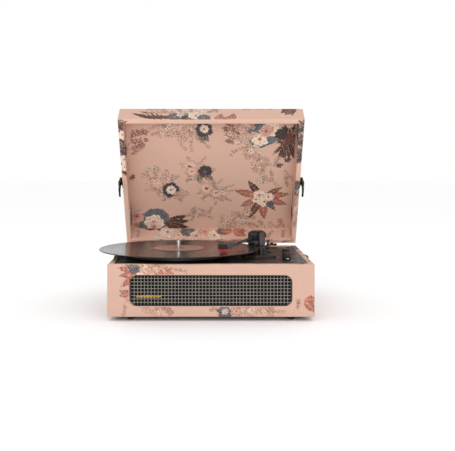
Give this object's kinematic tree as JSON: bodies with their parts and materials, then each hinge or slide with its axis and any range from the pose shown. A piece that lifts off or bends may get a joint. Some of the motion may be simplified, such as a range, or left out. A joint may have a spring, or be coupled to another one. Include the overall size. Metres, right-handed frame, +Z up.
{
  "type": "suitcase record player",
  "caption": "Portable record player in a hinged suitcase covered in floral print, with a grille across the front, a record on its platter, a tonearm, knobs and side latches.",
  "frame": {"origin": "on the surface it stands on, under the middle of the whole object's box with the lid open and the record on", "axes": "+X to the right seen from the front, +Y to the back, +Z up"},
  "size_m": [0.3998, 0.3492, 0.3794],
  "materials": {
    "printed_cover": "matte printed leatherette with a fine cloth grain",
    "grille_metal": "satin taupe lattice",
    "grille_black": "black speaker cloth",
    "badge_gold": "satin",
    "deck_black": "semi-gloss moulded, fine texture",
    "black_plastic": "satin moulded",
    "vinyl": "polished, grooved",
    "label_paper": "plain printed paper",
    "felt": "felt",
    "steel": "bright",
    "antique_brass": "dark antiqued",
    "brass_bush": "machined",
    "stylus_red": "translucent red moulded",
    "rubber": "matte",
    "raw_wood": "raw board",
    "speaker_steel": "black stamped steel",
    "paper_cone": "pressed paper",
    "ferrite": "ground ferrite",
    "board_green": "solder-masked",
    "lens": "milky lens"
  },
  "bodies": {
    "base": {"front_panel": "printed_cover", "back_panel": "printed_cover", "side_panels": "printed_cover", "bottom_panel": "black_plastic", "corner_blocks": "raw_wood", "rubber_feet": "rubber", "case_screws": "steel", "speaker_grille": "grille_metal", "grille_cloth": "grille_black", "badge": "badge_gold", "speaker_frames": "speaker_steel", "speaker_cones": "paper_cone", "speaker_magnets": "ferrite", "speaker_screws": "steel", "deck_plate": "deck_black", "deck_screws": "black_plastic", "motor": "steel", "bearing_bush": "brass_bush", "drive_belt": "rubber", "circuit_board": "board_green", "control_pots": "speaker_steel", "indicator_light": "lens", "tonearm_base": "deck_black", "arm_rest": "black_plastic", "hinge_base_leaves": "antique_brass", "latch_catches": "antique_brass", "jack_plate": "black_plastic", "line_out_jacks": "steel", "power_socket": "black_plastic", "handle_brackets": "antique_brass"},
    "lid": {"lid_panel": "printed_cover", "lid_frame": "printed_cover", "hinge_lid_leaves": "antique_brass", "hinge_pins": "steel", "lid_screws": "antique_brass", "latch_plates": "antique_brass"},
    "latch_lever_l": {"latch_lever_left": "antique_brass"},
    "latch_lever_r": {"latch_lever_right": "antique_brass"},
    "latch_loop_l": {"latch_loop_left": "antique_brass"},
    "latch_loop_r": {"latch_loop_right": "antique_brass"},
    "platter": {"platter": "black_plastic", "spindle": "steel", "slipmat": "felt", "record": "vinyl", "record_label": "label_paper"},
    "pulley": {"motor_pulley": "brass_bush"},
    "volume": {"volume_knob": "black_plastic"},
    "pitch": {"pitch_knob": "black_plastic"},
    "speed": {"speed_lever": "black_plastic"},
    "cue": {"cue_lever": "black_plastic"},
    "lift": {"lift_platform": "black_plastic"},
    "yoke": {"tonearm_yoke": "black_plastic"},
    "arm": {"arm_carrier": "black_plastic", "arm_tube": "black_plastic", "headshell": "black_plastic", "cartridge": "black_plastic", "stylus": "stylus_red", "counterweight": "speaker_steel", "pivot_pin": "steel"},
    "handle": {"carrying_handle": "black_plastic"}
  },
  "joints": [
    {"name": "lid_hinge", "type": "hinge", "parent": "base", "child": "lid", "pos_m": [0.0129, 0.13922, 0.0996], "axis": [-1, 0, 0], "range_deg": [-41, 33]},
    {"name": "latch_left_lever", "type": "hinge", "parent": "lid", "child": "latch_lever_l", "pos_m": [-0.1701, 0.06495, 0.23618], "axis": [0, 0.5446, -0.8387], "range_deg": [0, 160]},
    {"name": "latch_right_lever", "type": "hinge", "parent": "lid", "child": "latch_lever_r", "pos_m": [0.1959, 0.06495, 0.23618], "axis": [0, -0.5446, 0.8387], "range_deg": [0, 160]},
    {"name": "latch_left_loop", "type": "hinge", "parent": "latch_lever_l", "child": "latch_loop_l", "pos_m": [-0.1711, 0.0574, 0.23128], "axis": [0, 0.5446, -0.8387], "range_deg": [-172, 8]},
    {"name": "latch_right_loop", "type": "hinge", "parent": "latch_lever_r", "child": "latch_loop_r", "pos_m": [0.1969, 0.0574, 0.23128], "axis": [0, -0.5446, 0.8387], "range_deg": [-172, 8]},
    {"name": "platter_spin", "type": "hinge", "parent": "base", "child": "platter", "pos_m": [-0.0491, -0.02378, 0.0965], "axis": [0, 0, 1], "continuous": true},
    {"name": "pulley_spin", "type": "hinge", "parent": "base", "child": "pulley", "pos_m": [-0.1085, 0.03562, 0.0965], "axis": [0, 0, 1], "continuous": true},
    {"name": "volume_turn", "type": "hinge", "parent": "base", "child": "volume", "pos_m": [0.1509, -0.09078, 0.0965], "axis": [0, 0, 1], "range_deg": [-270, 0]},
    {"name": "pitch_turn", "type": "hinge", "parent": "base", "child": "pitch", "pos_m": [0.1559, -0.02978, 0.0965], "axis": [0, 0, 1], "range_deg": [-140, 140]},
    {"name": "speed_slide", "type": "slide", "parent": "base", "child": "speed", "axis": [0, 1, 0], "range_m": [-0.008, 0.008]},
    {"name": "tonearm_swing", "type": "hinge", "parent": "base", "child": "yoke", "pos_m": [0.1049, 0.06622, 0.1015], "axis": [0, 0, 1], "range_deg": [-17, 24]},
    {"name": "tonearm_lift", "type": "hinge", "parent": "yoke", "child": "arm", "pos_m": [0.1049, 0.06622, 0.1235], "axis": [-0.9184, 0.3957, 0], "range_deg": [0, 4.5]},
    {"name": "cue_turn", "type": "hinge", "parent": "base", "child": "cue", "pos_m": [0.1259, 0.03422, 0.1055], "axis": [1, 0, 0], "range_deg": [0, 50]},
    {"name": "lift_slide", "type": "slide", "parent": "base", "child": "lift", "axis": [0, 0, 1], "range_m": [0, 0.0022]},
    {"name": "handle_swing", "type": "hinge", "parent": "base", "child": "handle", "pos_m": [0.0129, 0.14222, 0.0735], "axis": [1, 0, 0], "range_deg": [0, 90]}
  ],
  "couplings": [
    {"joint": "pulley_spin", "follows": "platter_spin", "ratio": 12.4},
    {"joint": "latch_left_loop", "follows": "latch_left_lever", "ratio": -1},
    {"joint": "latch_right_loop", "follows": "latch_right_lever", "ratio": -1},
    {"joint": "cue_turn", "follows": "tonearm_lift", "ratio": 11.111},
    {"joint": "lift_slide", "follows": "tonearm_lift", "m_per_rad": 0.028}
  ]
}
